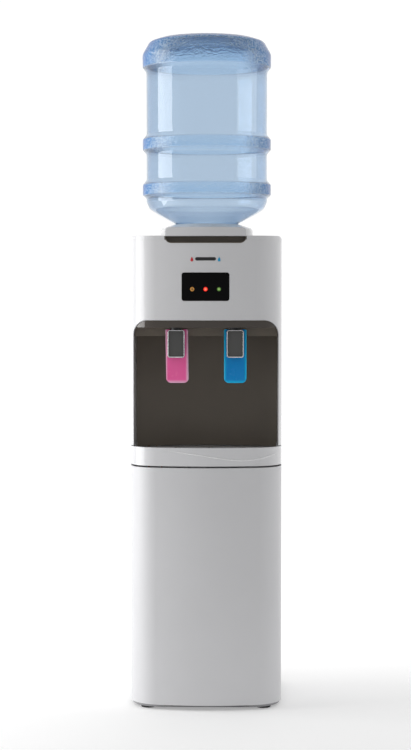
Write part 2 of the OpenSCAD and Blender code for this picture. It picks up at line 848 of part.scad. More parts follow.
// ---- Drain, switches and cord entry on the back ----

module drain_fitting() {
  color("white") difference() {
    union() {
      rod_y(drain_x, back_y - 14, back_y + 20, service_z, 9);
      rod_y(drain_x, back_y + 0.1, back_y + 3, service_z, 16);
    }
    rod_y(drain_x, back_y - 20, back_y + 30, service_z, 5);
  }
}

module drain_cap() {
  grips = 20;
  color("white") difference() {
    rod_y(drain_x, back_y + 5, back_y + 24, service_z, 13.5);
    rod_y(drain_x, back_y, back_y + 21, service_z, 9.05);
    for (i = [0:grips - 1]) translate([drain_x, 0, service_z]) rotate([0, 360 * i / grips, 0])
      slab(12.8, 15, back_y + 7, back_y + 23, -0.7, 0.7);
  }
}

module switch_plate() {
  color(DARK) difference() {
    union() {
      slab(switch_x - 30, switch_x + 30, back_y + 0.1, back_y + 2.5, service_z - 18, service_z + 18);
      slab(switch_x - 23.5, switch_x + 23.5, back_y - 18, back_y + 1, service_z - 12.5, service_z + 12.5);
    }
    for (dx = [-12, 12])
      slab(switch_x + dx - 7, switch_x + dx + 7, back_y - 16, back_y + 5, service_z - 11, service_z + 11);
    for (dx = [-12, 12]) rod_x(switch_x + dx - 9, switch_x + dx + 9, back_y - 5, service_z, 1.54);
  }
}

module rocker(x) {
  translate([x, back_y - 5, service_z]) rotate([-7, 0, 0]) {
    rotate([90, 0, 90]) translate([0, 0, -6.5]) linear_extrude(height = 13)
      polygon([[-3, -4], [-3, 4], [4, 9.5], [8.8, 9.5], [6.5, 0], [8.8, -9.5], [4, -9.5]]);
    rotate([0, 90, 0]) translate([0, 0, -8.5]) cylinder(h = 17, r = 1.5);
  }
}
module switch_heat() { color("firebrick") rocker(switch_x - 12); }
module switch_cool() { color("seagreen") rocker(switch_x + 12); }

module cord_gland() {
  color(DARK) difference() {
    union() {
      rod_y(gland_x, back_y - 12, back_y + 3, service_z, 8);
      translate([gland_x, back_y + 5, service_z]) rotate([90, 0, 0]) cylinder(h = 4.9, r = 13, $fn = 6);
      rod_y(gland_x, back_y + 4, back_y + 16, service_z, 9.5);
      translate([gland_x, back_y - 2, service_z]) rotate([90, 0, 0]) cylinder(h = 5, r = 12, $fn = 6);
    }
    rod_y(gland_x, back_y - 20, back_y + 20, service_z, 4);
  }
}

// ---- Refrigeration ----

module compressor() {
  color(DARK) {
    translate([0, compressor_y, 0]) rotate_extrude() polygon(concat(
      [[0, 41], [52, 41], [66, 52], [70, 66], [70, 112], [73, 113], [73, 117], [70, 118]],
      [for (a = [0:15:90]) [28 + 42 * cos(a), 140 + 26 * sin(a)]],
      [[0, 166], [0, 140], [26, 138], [50, 120], [50, 70], [0, 60]]
    ));
    difference() {
      slab(-84, 84, compressor_y - 58, compressor_y + 58, 38, 42);
      for (p = mount_places) rod_z(p[0], p[1], 30, 50, 8);
    }
    rod_z(-20, compressor_y + 20, 160, 182, 4);
    rod_z(25, compressor_y + 20, 160, 182, 3);
  }
}

module compressor_mounts() {
  color([0.2, 0.2, 0.2]) for (p = mount_places) translate([p[0], p[1], 0]) rotate_extrude() polygon([
    [0, 5.2], [4, 5.2], [4, 6.7], [12, 6.7], [12, 20], [10, 24], [12, 28], [12, 37.8], [7.8, 37.8],
    [7.8, 42.3], [11, 42.3], [10, 46], [0, 46]
  ]);
}

module start_relay() {
  color([0.15, 0.15, 0.16]) {
    slab(74, 98, compressor_y - 24, compressor_y + 24, 76, 122);
    rod_y(86, compressor_y - 30, compressor_y - 23, 99, 6);
  }
}

line_x = 128;
discharge_route = [
  [25, compressor_y + 20, 182.5], [25, compressor_y + 20, 200], [40, 66, 214], [80, 88, 222], [110, 112, 228],
  [128, 126, 226], [132, 142, 222], [132, 156, 232], [132, condenser_y, 262], [132, condenser_y, 300],
  [126, condenser_y, 325], [112, condenser_y, 340], [condenser_x - 17.6, condenser_y, condenser_z0]
];
liquid_route = [
  [17.6 - condenser_x, condenser_y, condenser_z1], [-112, condenser_y, condenser_z1 - 3],
  [-124, condenser_y, condenser_z1 - 20], [-126, condenser_y, 700], [-126, condenser_y, 500],
  [-126, condenser_y, 300], [-124, 156, 250], [-118, 142, 224], [-100, 126, 214],
  [-76, 118, 210], [-62, 118, 218], [drier_x, drier_y, 235.7]
];
capillary_route = [
  [drier_x, drier_y, 364.3], [-70, 122, 420], [-110, 126, 500], [-116, 124, 700],
  [-117, 119, 800], [-112, 116, 860], [-60, 112, 886], [-12, 110, 888], [2, 97.6, 889]
];
suction_route = [
  [-20, compressor_y + 20, 182.5], [-20, compressor_y + 20, 205], [-40, 70, 225],
  [-90, 112, 245], [-126, 122, 300],
  [-line_x, 122, 500], [-line_x, 122, 700], [-122, 116, 770], [-121, 110, 812], [-112, 112, 830],
  [-60, 112, 838], [-12, 112, 838], [-3, 104, 834], [-1.5, 97.8, 832.6]
];

module refrigerant_lines() {
  color(COPPER) {
    tube(smooth_route(discharge_route, 3), 2.4, [0.1, -0.2, 0.5], 8);
    tube(smooth_route(liquid_route, 3), 2.4, [0.3, 1, 0.1], 8);
    tube(smooth_route(capillary_route, 3), 1.2, [0.2, 1, 0.1], 6);
    tube(smooth_route(suction_route, 3), 3, [1, 0.4, -0.3], 8);
    // Filter drier
    rod_z(drier_x, drier_y, 250, 340, 8);
    rod_z(drier_x, drier_y, 236, 364, 3);
  }
}

function run_z(i) = condenser_z0 + i * condenser_pitch;
// Between two wires
bracket_places = [-94.5, 94.5];
bracket_low_z = run_z(1);
bracket_high_z = run_z(condenser_runs - 2);

module condenser() {
  turn_r = condenser_pitch / 2;
  reach = condenser_x - turn_r;
  route = [
    for (i = [0:condenser_runs - 1])
      let (s = i % 2 == 0 ? 1 : -1)
        each concat(
          [[s * reach, condenser_y, run_z(i)], [-s * reach, condenser_y, run_z(i)]],
          i == condenser_runs - 1 ? [] : [for (a = [-60:30:60]) [
            -s * (reach + turn_r * cos(a)), condenser_y, run_z(i) + turn_r * (1 + sin(a))
          ]]
        )
  ];
  wires = 31;
  color(DARK) {
    tube(route, condenser_tube_r, [0, 1, 0], 8);
    for (i = [0:wires - 1], s = [-1, 1])
      translate([-105 + 7 * i, condenser_y + s * (condenser_tube_r + wire_r + 0.1), condenser_z0 - 10])
        cylinder(h = (condenser_runs - 1) * condenser_pitch + 20, r = wire_r, $fn = 6);
  }
}

module condenser_brackets() {
  color(DARK) for (x = bracket_places, z = [bracket_low_z, bracket_high_z]) difference() {
    union() {
      slab(x - 1, x + 1, back_y + 0.1, rear_y, z - 6, z + 6);
      slab(x - 6, x + 6, back_y + 0.1, back_y + 2, z - 16, z + 6);
    }
    rod_x(x - 10, x + 10, condenser_y, z, condenser_tube_r + 0.15);
    rod_y(x, back_y - 1, back_y + 4, z - 10, 2);
  }
}

base_pan();
feet();
side_panel_left();
side_panel_right();
back_panel();
panel_screws();
lower_front_panel();
tray_housing();
drip_tray();
drip_grille();
upper_fascia();
niche_liner();
valance();
top_cover();
grip_recess();
display_window();
led_heat();
led_power();
led_cool();
indicator_board();
hot_lever();
cold_lever();
lever_pins();
hot_tap_body();
cold_tap_body();
tap_nuts();
hot_valve();
cold_valve();
hot_spring();
cold_spring();
hot_spout_cover();
cold_spout_cover();
hot_spout_bezel();
cold_spout_bezel();
bottle_seat();
seat_seal();
bottle();
bottle_cap();
cold_tank();
evaporator_coil();
tank_insulation();
tank_bracket();
hot_tank();
hot_tank_jacket();
heating_element();
thermal_cutouts();
cold_thermostat();
water_hoses();
drain_fitting();
drain_cap();
compressor();
compressor_mounts();
start_relay();
refrigerant_lines();
condenser();
condenser_brackets();
switch_plate();
switch_heat();
switch_cool();
cord_gland();
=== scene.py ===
"""Looks of the floor-standing water dispenser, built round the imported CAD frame."""

import json
import math

import bmesh
import bpy
import numpy as np
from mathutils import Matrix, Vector


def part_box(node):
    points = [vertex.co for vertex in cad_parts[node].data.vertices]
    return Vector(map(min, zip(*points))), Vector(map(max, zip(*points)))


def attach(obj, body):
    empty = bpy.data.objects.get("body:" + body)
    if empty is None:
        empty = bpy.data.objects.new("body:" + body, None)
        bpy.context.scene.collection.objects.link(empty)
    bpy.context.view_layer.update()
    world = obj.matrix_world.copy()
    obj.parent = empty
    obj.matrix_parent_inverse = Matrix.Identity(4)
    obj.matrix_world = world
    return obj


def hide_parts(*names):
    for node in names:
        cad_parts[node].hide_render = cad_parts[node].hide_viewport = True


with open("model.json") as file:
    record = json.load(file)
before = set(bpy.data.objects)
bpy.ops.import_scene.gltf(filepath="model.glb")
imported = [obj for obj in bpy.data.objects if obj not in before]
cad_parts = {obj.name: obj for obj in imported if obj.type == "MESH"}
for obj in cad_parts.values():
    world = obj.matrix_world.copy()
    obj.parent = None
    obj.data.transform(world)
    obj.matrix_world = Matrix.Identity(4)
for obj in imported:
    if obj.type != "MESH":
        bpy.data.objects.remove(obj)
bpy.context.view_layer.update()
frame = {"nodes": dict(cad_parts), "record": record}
nodes = frame["nodes"]
MM = 0.001

# ---- Places taken from the frame ----

PANEL_LOW, PANEL_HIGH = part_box("lower_front_panel")
TRAY_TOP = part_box("drip_tray")[1].z
BOTTLE_LOW, BOTTLE_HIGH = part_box("bottle")
FRONT_Y = PANEL_LOW.y
# Radius of the bowed front, and of the corners where it turns into the sides
BOW_R = 470 * MM
BOW_Y = FRONT_Y + BOW_R
CORNER_R = 66 * MM
CORNER_X = PANEL_HIGH.x - CORNER_R
CORNER_Y = BOW_Y - math.sqrt((BOW_R - CORNER_R) ** 2 - CORNER_X ** 2)
# The bottle's axis
AXIS = Vector(((BOTTLE_LOW.x + BOTTLE_HIGH.x) / 2, (BOTTLE_LOW.y + BOTTLE_HIGH.y) / 2, 0))


def middle(node):
    """Centre of a CAD node's box."""
    low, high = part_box(node)
    return (low + high) / 2


def bow(x, out=0.0):
    """Depth of the bowed front and its round corners at x, moved forward by out."""
    if abs(x) < CORNER_X * BOW_R / (BOW_R - CORNER_R):
        return BOW_Y - math.sqrt((BOW_R + out) ** 2 - x * x)
    return CORNER_Y - math.sqrt(max(0, (CORNER_R + out) ** 2 - (abs(x) - CORNER_X) ** 2))


# ---- Small helpers ----

def collection_object(name, mesh):
    """An object in the scene that shows the mesh."""
    piece = bpy.data.objects.new(name, mesh)
    bpy.context.scene.collection.objects.link(piece)
    return piece


def mesh_piece(name, verts, faces, material):
    """A smooth-shaded object from corner points and faces."""
    mesh = bpy.data.meshes.new(name)
    mesh.from_pydata([tuple(v) for v in verts], [], faces)
    mesh.validate()
    mesh.polygons.foreach_set("use_smooth", [True] * len(mesh.polygons))
    mesh.materials.append(material)
    return collection_object(name, mesh)


def ring_faces(rows, n, close=False):
    """Quads between neighbouring rings of n points each. close joins the last ring to the first."""
    faces = []
    for row in range(rows if close else rows - 1):
        here, there = row * n, (row + 1) % rows * n
        for k in range(n):
            m = (k + 1) % n
            faces.append((here + k, here + m, there + m, there + k))
    return faces


def outward(piece):
    """Turns every face of a closed mesh outwards."""
    bm = bmesh.new()
    bm.from_mesh(piece.data)
    bmesh.ops.recalc_face_normals(bm, faces=bm.faces)
    bm.to_mesh(piece.data)
    bm.free()
    return piece


def place(piece, body, replaces=()):
    """Makes the piece ride a body, in place of the CAD nodes given."""
    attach(piece, body)
    if replaces:
        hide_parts(*replaces)
    return piece


def rounded(profile, radius, steps=4):
    """Rounds the corners of an open polyline of (x, y) points, by one radius or one per point."""
    out = [profile[0]]
    for i in range(1, len(profile) - 1):
        r = radius[i] if isinstance(radius, (list, tuple)) else radius
        p = Vector(profile[i])
        a, b = Vector(profile[i - 1]) - p, Vector(profile[i + 1]) - p
        half = a.angle(b) / 2
        cut = min(r / math.tan(half) if half > 1e-4 else 0, a.length * 0.49, b.length * 0.49)
        if cut < 1e-6 or r <= 0 or abs(half - math.pi / 2) < 0.02:
            out.append(tuple(p))
            continue
        start, end = p + a.normalized() * cut, p + b.normalized() * cut
        for k in range(steps + 1):
            t = k / steps
            out.append(tuple((1 - t) ** 2 * start + 2 * t * (1 - t) * p + t * t * end))
    out.append(profile[-1])
    return out


# ---- Materials ----

# How far a sharp CAD edge looks rounded
EDGE_RADIUS = 0.9 * MM


class Shader:
    """A node-based surface: Principled BSDF with noise in its colour, roughness and bump."""

    def __init__(self, name):
        self.material = bpy.data.materials.new(name)
        self.material.use_nodes = True
        self.tree = self.material.node_tree
        self.tree.nodes.clear()
        self.out = self.node("ShaderNodeOutputMaterial")
        self.bsdf = self.node("ShaderNodeBsdfPrincipled")
        self.link(self.bsdf, "BSDF", self.out, "Surface")
        self.coords = self.node("ShaderNodeTexCoord")

    def node(self, kind, **values):
        made = self.tree.nodes.new(kind)
        for key, value in values.items():
            setattr(made, key, value)
        return made

    def link(self, a, a_socket, b, b_socket):
        self.tree.links.new(a.outputs[a_socket], b.inputs[b_socket])

    def set(self, **values):
        for key, value in values.items():
            self.bsdf.inputs[key.replace("_", " ")].default_value = value
        return self

    def noise(self, scale, detail=3, roughness=0.5, stretch=(1, 1, 1)):
        mapping = self.node("ShaderNodeMapping")
        mapping.inputs["Scale"].default_value = stretch
        texture = self.node("ShaderNodeTexNoise")
        texture.inputs["Scale"].default_value = scale
        texture.inputs["Detail"].default_value = detail
        texture.inputs["Roughness"].default_value = roughness
        self.link(self.coords, "Object", mapping, "Vector")
        self.link(mapping, "Vector", texture, "Vector")
        return texture

    def cells(self, scale, smoothness=0.5):
        texture = self.node("ShaderNodeTexVoronoi", feature="SMOOTH_F1")
        texture.inputs["Scale"].default_value = scale
        texture.inputs["Smoothness"].default_value = smoothness
        self.link(self.coords, "Object", texture, "Vector")
        return texture

    def ramp(self, source, socket, low, high, start=0.3, end=0.7):
        ramp = self.node("ShaderNodeMapRange")
        ramp.inputs["From Min"].default_value = start
        ramp.inputs["From Max"].default_value = end
        ramp.inputs["To Min"].default_value = low
        ramp.inputs["To Max"].default_value = high
        self.link(source, socket, ramp, "Value")
        return ramp

    def vary_colour(self, texture, colour, other, socket="Fac", start=0.35, end=0.65):
        ramp = self.node("ShaderNodeValToRGB")
        ramp.color_ramp.elements[0].position = start
        ramp.color_ramp.elements[1].position = end
        ramp.color_ramp.elements[0].color = (*colour, 1)
        ramp.color_ramp.elements[1].color = (*other, 1)
        self.link(texture, socket, ramp, "Fac")
        self.link(ramp, "Color", self.bsdf, "Base Color")
        return self

    def vary_roughness(self, texture, low, high, socket="Fac"):
        self.link(self.ramp(texture, socket, low, high), "Result", self.bsdf, "Roughness")
        return self

    def bump(self, texture, height, socket="Fac", soft_edges=True):
        """Relief of the given height, in metres, from a texture that runs from 0 to 1."""
        bump = self.node("ShaderNodeBump")
        if soft_edges:
            edge = self.node("ShaderNodeBevel", samples=4)
            edge.inputs["Radius"].default_value = EDGE_RADIUS
            self.link(edge, "Normal", bump, "Normal")
        bump.inputs["Strength"].default_value = 1
        bump.inputs["Distance"].default_value = height
        self.link(texture, socket, bump, "Height")
        self.link(bump, "Normal", self.bsdf, "Normal")
        return self


def separate(s):
    """The point's x, y and z as separate sockets."""
    made = s.node("ShaderNodeSeparateXYZ")
    s.link(s.coords, "Object", made, "Vector")
    return made


def math_node(s, operation, *values):
    """A Math node. Each value is a number or a (node, socket) pair."""
    made = s.node("ShaderNodeMath", operation=operation)
    for k, value in enumerate(values):
        if isinstance(value, tuple):
            s.tree.links.new(value[0].outputs[value[1]], made.inputs[k])
        else:
            made.inputs[k].default_value = value
    return made


def radius_from(s, centre, axes="XZ"):
    """Distance from a line through centre, measured in two axes of the row frame."""
    xyz = separate(s)
    squares = []
    for axis in axes:
        offset = math_node(s, "SUBTRACT", (xyz, axis), getattr(centre, axis.lower()))
        squares.append(math_node(s, "MULTIPLY", (offset, 0), (offset, 0)))
    return math_node(s, "SQRT", (math_node(s, "ADD", (squares[0], 0), (squares[1], 0)), 0))


def tinted(colour, factor):
    """The colour, lighter or darker by a factor."""
    return tuple(min(1, c * factor) for c in colour)


def plastic(name, colour, rough=(0.25, 0.32), grain=900, relief=0.012 * MM, coat=0.0,
            spread=0.04, ior=1.5):
    """Moulded plastic. grain is the scale of its fine relief, and spread how far its colour varies."""
    s = Shader(name)
    fine = s.noise(grain, 2)
    broad = s.noise(6, 3)
    s.vary_colour(broad, tinted(colour, 1 - spread), tinted(colour, 1 + spread))
    s.vary_roughness(s.noise(40, 3), *rough)
    s.bump(fine, relief)
    s.set(Coat_Weight=coat, Coat_Roughness=0.06, IOR=ior)
    return s.material


def metal(name, colour, rough=(0.2, 0.35), stretch=(1, 1, 1), scale=60, relief=0.01 * MM):
    """Metal brushed or drawn along the axes that stretch makes long."""
    s = Shader(name)
    brushed = s.noise(scale, 4, stretch=stretch)
    s.vary_colour(brushed, tinted(colour, 0.9), tinted(colour, 1.08))
    s.vary_roughness(brushed, *rough)
    s.bump(brushed, relief, soft_edges=False)
    s.set(Metallic=1.0)
    return s.material


def painted(name, colour, rough=(0.32, 0.4), relief=0.02 * MM):
    """Painted sheet steel with a slight orange peel."""
    s = Shader(name)
    s.vary_colour(s.noise(5, 2), tinted(colour, 0.97), tinted(colour, 1.03))
    s.vary_roughness(s.noise(30, 3), *rough)
    s.bump(s.noise(350, 2), relief)
    return s.material


def lens(name, node, colour, middle_colour, glow):
    """Small lamp lens whose middle differs from its rim."""
    s = Shader(name)
    from_centre = radius_from(s, middle(node))
    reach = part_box(node)[1].x - middle(node).x
    cloud = math_node(s, "MULTIPLY", (s.noise(700, 2), "Fac"), 0.3 * reach)
    spread = math_node(s, "ADD", (from_centre, 0), (cloud, 0))
    rim = s.ramp(spread, 0, 0, 1, 0.25 * reach, 0.95 * reach)
    s.vary_colour(rim, middle_colour, colour, "Result", 0, 1)
    ramp = s.bsdf.inputs["Base Color"].links[0].from_socket
    s.tree.links.new(ramp, s.bsdf.inputs["Emission Color"])
    s.vary_roughness(s.noise(200, 2), 0.08, 0.16)
    s.set(Emission_Strength=glow)
    return s.material


MATERIALS = {
    "moulding": plastic(
        "gloss_abs_white", (0.72, 0.72, 0.735), (0.16, 0.22), 700, 0.006 * MM, 0.25, 0.012),
    "steel_white": painted("painted_steel_white", (0.70, 0.70, 0.715)),
    "plinth_grey": painted("painted_steel_grey", (0.30, 0.30, 0.31)),
    "brown_plastic": plastic(
        "satin_brown_abs", (0.158, 0.132, 0.102), (0.30, 0.38), 1200, 0.012 * MM),
    "valance_gloss": plastic(
        "gloss_brown_abs", (0.062, 0.051, 0.042), (0.08, 0.12), 900, 0.003 * MM, 0.4),
    "window_black": plastic(
        "polished_black_acrylic", (0.0012, 0.0012, 0.0014), (0.05, 0.08), 500, 0.001 * MM, ior=1.22),
    "led_amber": lens("amber_lens", "led_heat", (0.62, 0.30, 0.07), (0.03, 0.02, 0.01), 0.55),
    "led_red": lens("red_lens", "led_power", (0.55, 0.008, 0.006), (1.0, 0.16, 0.09), 1.3),
    "led_green": lens("green_lens", "led_cool", (0.07, 0.17, 0.03), (0.30, 0.52, 0.14), 0.45),
    "lever_pink": plastic(
        "pink_lever_plastic", (0.68, 0.12, 0.29), (0.26, 0.34), 900, 0.008 * MM, 0.2),
    "lever_blue": plastic(
        "blue_lever_plastic", (0.002, 0.19, 0.47), (0.26, 0.34), 900, 0.008 * MM, 0.2),
    "spout_grey": plastic("satin_grey_abs", (0.085, 0.085, 0.083), (0.28, 0.36), 1100, 0.012 * MM),
    "chrome": metal("bright_chrome", (0.82, 0.82, 0.84), (0.14, 0.20), scale=220, relief=0.002 * MM),
    "pin_steel": metal("turned_steel", (0.5, 0.5, 0.52), (0.22, 0.36), scale=400),
    "tap_plastic": plastic("dark_tap_plastic", (0.03, 0.03, 0.03), (0.4, 0.5)),
    "cap_blue": plastic("soft_blue_cap", (0.03, 0.10, 0.36), (0.38, 0.48)),
    "rubber": plastic("black_rubber", (0.018, 0.018, 0.018), (0.62, 0.78), 600, 0.03 * MM),
    "stainless": metal("stainless_steel", (0.55, 0.55, 0.57), (0.2, 0.34), (1, 1, 40), 30, 0.008 * MM),
    "copper": metal("drawn_copper", (0.70, 0.33, 0.20), (0.24, 0.38), scale=90),
    "foam": plastic("beaded_foam", (0.78, 0.77, 0.71), (0.75, 0.9), 260, 0.3 * MM),
    "hose_clear": plastic("milky_silicone", (0.66, 0.68, 0.66), (0.35, 0.45)),
    "black_steel": painted("black_enamel", (0.014, 0.014, 0.016), (0.3, 0.42)),
    "black_plastic": plastic(
        "black_grained_plastic", (0.02, 0.02, 0.022), (0.42, 0.55), 700, 0.03 * MM),
    "white_plastic": plastic("white_nylon", (0.68, 0.68, 0.66), (0.4, 0.5)),
    "board_green": plastic("solder_mask", (0.012, 0.12, 0.05), (0.3, 0.4)),
    "rocker_red": plastic("red_rocker", (0.42, 0.02, 0.02), (0.18, 0.26), coat=0.3),
    "rocker_green": plastic("green_rocker", (0.02, 0.24, 0.08), (0.18, 0.26), coat=0.3),
}


# Heights of the tinted bands and how softly they end
TINTED = [(1052 * MM, 1075 * MM), (1146 * MM, 1169 * MM), (1317 * MM, 1380 * MM)]
TINT_FADE = 2 * MM
# Size of the dimples in the bands, as cells per metre, and their depth
DIMPLE_SCALE = 330
DIMPLE_DEPTH = 0.45 * MM


def colour_ramp(s, clear, deep, start, end):
    """From the colour of the wall seen square on to its colour seen edge on."""
    ramp = s.node("ShaderNodeValToRGB")
    for element, colour, position in zip(ramp.color_ramp.elements, (clear, deep), (start, end)):
        element.color = (*colour, 1)
        element.position = position
    return ramp


def bottle_shader():
    """Clear blue polycarbonate, deeper where it is seen edge on and in the textured bands."""
    s = Shader("blue_polycarbonate")
    facing = s.node("ShaderNodeLayerWeight")
    facing.inputs["Blend"].default_value = 0.35
    ramp = colour_ramp(s, (0.66, 0.75, 0.845), (0.14, 0.34, 0.62), 0.25, 0.95)
    s.link(facing, "Facing", ramp, "Fac")
    height = separate(s)
    bands = None
    for low, high in TINTED:
        rise = s.ramp(height, "Z", 0, 1, low - TINT_FADE, low + TINT_FADE)
        fall = s.ramp(height, "Z", 1, 0, high - TINT_FADE, high + TINT_FADE)
        band = math_node(s, "MULTIPLY", (rise, "Result"), (fall, "Result"))
        bands = band if bands is None else math_node(s, "MAXIMUM", (bands, 0), (band, 0))
    cells = s.cells(DIMPLE_SCALE, 0.3)
    tint = colour_ramp(s, (0.84, 0.93, 1.0), (0.05, 0.27, 0.58), 0.25, 0.70)
    edge_on = s.node("ShaderNodeLayerWeight")
    edge_on.inputs["Blend"].default_value = 0.62
    speckle = s.ramp(cells, "Distance", 0.35, -0.25, 0.15, 0.65)
    s.link(math_node(s, "ADD", (edge_on, "Facing"), (speckle, "Result")), 0, tint, "Fac")
    mix = s.node("ShaderNodeMix", data_type="RGBA", blend_type="MULTIPLY")
    colour_in = [x for x in mix.inputs if x.type == "RGBA"]
    s.tree.links.new(bands.outputs[0], mix.inputs[0])
    s.tree.links.new(ramp.outputs["Color"], colour_in[0])
    s.tree.links.new(tint.outputs["Color"], colour_in[1])
    s.tree.links.new(next(x for x in mix.outputs if x.type == "RGBA"), s.bsdf.inputs["Base Color"])
    # Smooth walls, and bands hammered with fine dimples
    base = s.ramp(s.noise(25, 2), "Fac", 0.015, 0.045)
    rough = math_node(s, "ADD", (base, "Result"), (math_node(s, "MULTIPLY", (bands, 0), 0.10), 0))
    s.link(rough, 0, s.bsdf, "Roughness")
    hammered = math_node(s, "MULTIPLY", (cells, "Distance"), (bands, 0))
    waves = math_node(s, "MULTIPLY", (s.noise(45, 2), "Fac"), 0.10)
    s.bump(math_node(s, "ADD", (hammered, 0), (waves, 0)), DIMPLE_DEPTH, 0, soft_edges=False)
    # The hammered bands scatter light, more so where they are seen edge on
    milky = s.ramp(edge_on, "Facing", 0.0, 0.95, 0.22, 0.65)
    scattered = math_node(s, "MULTIPLY", (bands, 0), (milky, "Result"))
    clear = math_node(s, "SUBTRACT", 1.0, (scattered, 0))
    s.link(clear, 0, s.bsdf, "Transmission Weight")
    s.set(IOR=1.45)
    return s.material


MATERIALS.update({
    "bottle_blue": bottle_shader(),
    "badge_black": plastic("badge_black", (0.012, 0.012, 0.014), (0.25, 0.35), coat=0.2),
    "badge_red": plastic("badge_red", (0.62, 0.02, 0.03), (0.25, 0.35), coat=0.2),
    "badge_cyan": plastic("badge_cyan", (0.02, 0.36, 0.62), (0.25, 0.35), coat=0.2),
    # The rib is the fascia's white plastic made lighter: a painted highlight of a raised line lit from
    # above.
    "painted_highlight_rib": plastic("white_rib_painted_highlight", (0.93, 0.93, 0.94), (0.2, 0.3), 900, 0.004 * MM),
    "seat_white": plastic(
        "gloss_white_seat", (0.90, 0.90, 0.90), (0.14, 0.2), 700, 0.005 * MM, 0.3, 0.012),
    "satin_panel": plastic(
        "satin_white_panel", (0.70, 0.70, 0.715), (0.42, 0.50), 800, 0.01 * MM, 0.0, 0.012),
})

SLOT_OF = {row["node"]: row["material_slot"] for row in frame["record"]["subparts"]}
# CAD nodes whose finish differs from that of their slot
SPECIAL_FINISH = {"lower_front_panel": "satin_panel", "bottle_seat": "seat_white"}
for node_name, node_object in nodes.items():
    node_object.data.materials.clear()
    finish = SPECIAL_FINISH.get(node_name, SLOT_OF[node_name])
    node_object.data.materials.append(MATERIALS[finish])


# ---- Bottle ----

# Height bands with relief, and the height over which the relief rises to its full depth
TEXTURED = [(1051 * MM, 1077 * MM), (1144 * MM, 1171 * MM), (1316 * MM, 1381 * MM)]
BAND_SLOPE = 4 * MM
# Spacing and depth of the hammered dimples
CELL = 5.2 * MM
RELIEF = 0.4 * MM
# The relief fades out on the bottle's end between these radii
FADE_START, FADE_WIDTH = 80 * MM, 20 * MM
BOTTLE_WALL = 2 * MM
BOTTLE_SEGMENTS = 420
FINE_STEP, COARSE_STEP = 2 * MM, 9 * MM


def dimples(around, along, cell, columns):
    """Distance to the nearest of many scattered points, in cells.

    around wraps after that many columns.
    """
    u, v = np.floor(around / cell), np.floor(along / cell)
    nearest = np.full(around.shape, 9.0)
    for du in (-1, 0, 1):
        for dv in (-1, 0, 1):
            cu, cv = u + du, v + dv
            wrapped = np.mod(cu, columns)
            # The fractions of two large sines place one point in each cell, the same every time
            a = np.sin(wrapped * 127.1 + cv * 311.7) * 43758.5453
            b = np.sin(wrapped * 269.5 + cv * 183.3) * 43758.5453
            x = around / cell - cu - (a - np.floor(a))
            y = along / cell - cv - (b - np.floor(b))
            nearest = np.minimum(nearest, x * x + y * y)
    return np.sqrt(nearest)


def band_weight(z, bands):
    """1 inside the given height bands, falling to 0 over a short slope."""
    weight = np.zeros(z.shape)
    for low, high in bands:
        inside = np.minimum(z - low, high - z) / BAND_SLOPE
        weight = np.maximum(weight, np.clip(inside, 0, 1))
    return weight


def spaced(profile, step):
    """The same line with points no further apart than step(z)."""
    out = [profile[0]]
    for a, b in zip(profile, profile[1:]):
        length = math.hypot(b[0] - a[0], b[1] - a[1])
        n = max(1, math.ceil(length / step((a[1] + b[1]) / 2)))
        out += [(a[0] + (b[0] - a[0]) * k / n, a[1] + (b[1] - a[1]) * k / n) for k in range(1, n + 1)]
    return out


def bottle_profile():
    """Outer line from the neck to the recessed base, as (radius, height, corner radius) in mm."""
    top = BOTTLE_HIGH.z / MM
    ring = BOTTLE_HIGH.x / MM
    waist = ring - 8
    return [
        (28, BOTTLE_LOW.z / MM, 0), (28, 969.5, 3), (32, 975, 2), (103, 1013.5, 20), (119, 1024, 14),
        (waist - 0.5, 1038, 5), (waist, 1046, 3), (ring - 0.5, 1053, 4), (ring - 0.5, 1074, 5),
        (waist, 1084, 4), (waist - 0.5, 1090, 2), (waist - 0.5, 1132, 2), (waist, 1138, 4),
        (ring - 0.5, 1147, 4), (ring - 0.5, 1168, 5), (waist, 1178, 4), (waist - 0.5, 1184, 2),
        (waist, 1303, 2), (waist + 1, 1309, 4), (ring - 0.5, 1317, 6), (ring, 1344, 16),
        (119, 1370, 14), (96, top + 0.3, 10), (82, top - 2, 8), (56, top - 10.5, 8), (0, top - 12, 0),
    ]


def texture_step(z):
    """Point spacing along the outer line at this height."""
    return FINE_STEP if any(low < z < high for low, high in TEXTURED) else COARSE_STEP


def inner_wall(outline):
    """The inside of the wall, from the base back to the neck."""
    inner = []
    for k in range(len(outline) - 1, 0, -1):
        r, z = outline[k]
        a, b = outline[k - 1], outline[min(k + 1, len(outline) - 1)]
        tangent = Vector((b[0] - a[0], b[1] - a[1])).normalized()
        inner.append((max(0.0, r - tangent.y * BOTTLE_WALL), z + tangent.x * BOTTLE_WALL))
    inner = [p for p in inner if p[1] > BOTTLE_LOW.z + 2 * BOTTLE_WALL]
    inner.append((outline[0][0] - BOTTLE_WALL, BOTTLE_LOW.z))
    return inner


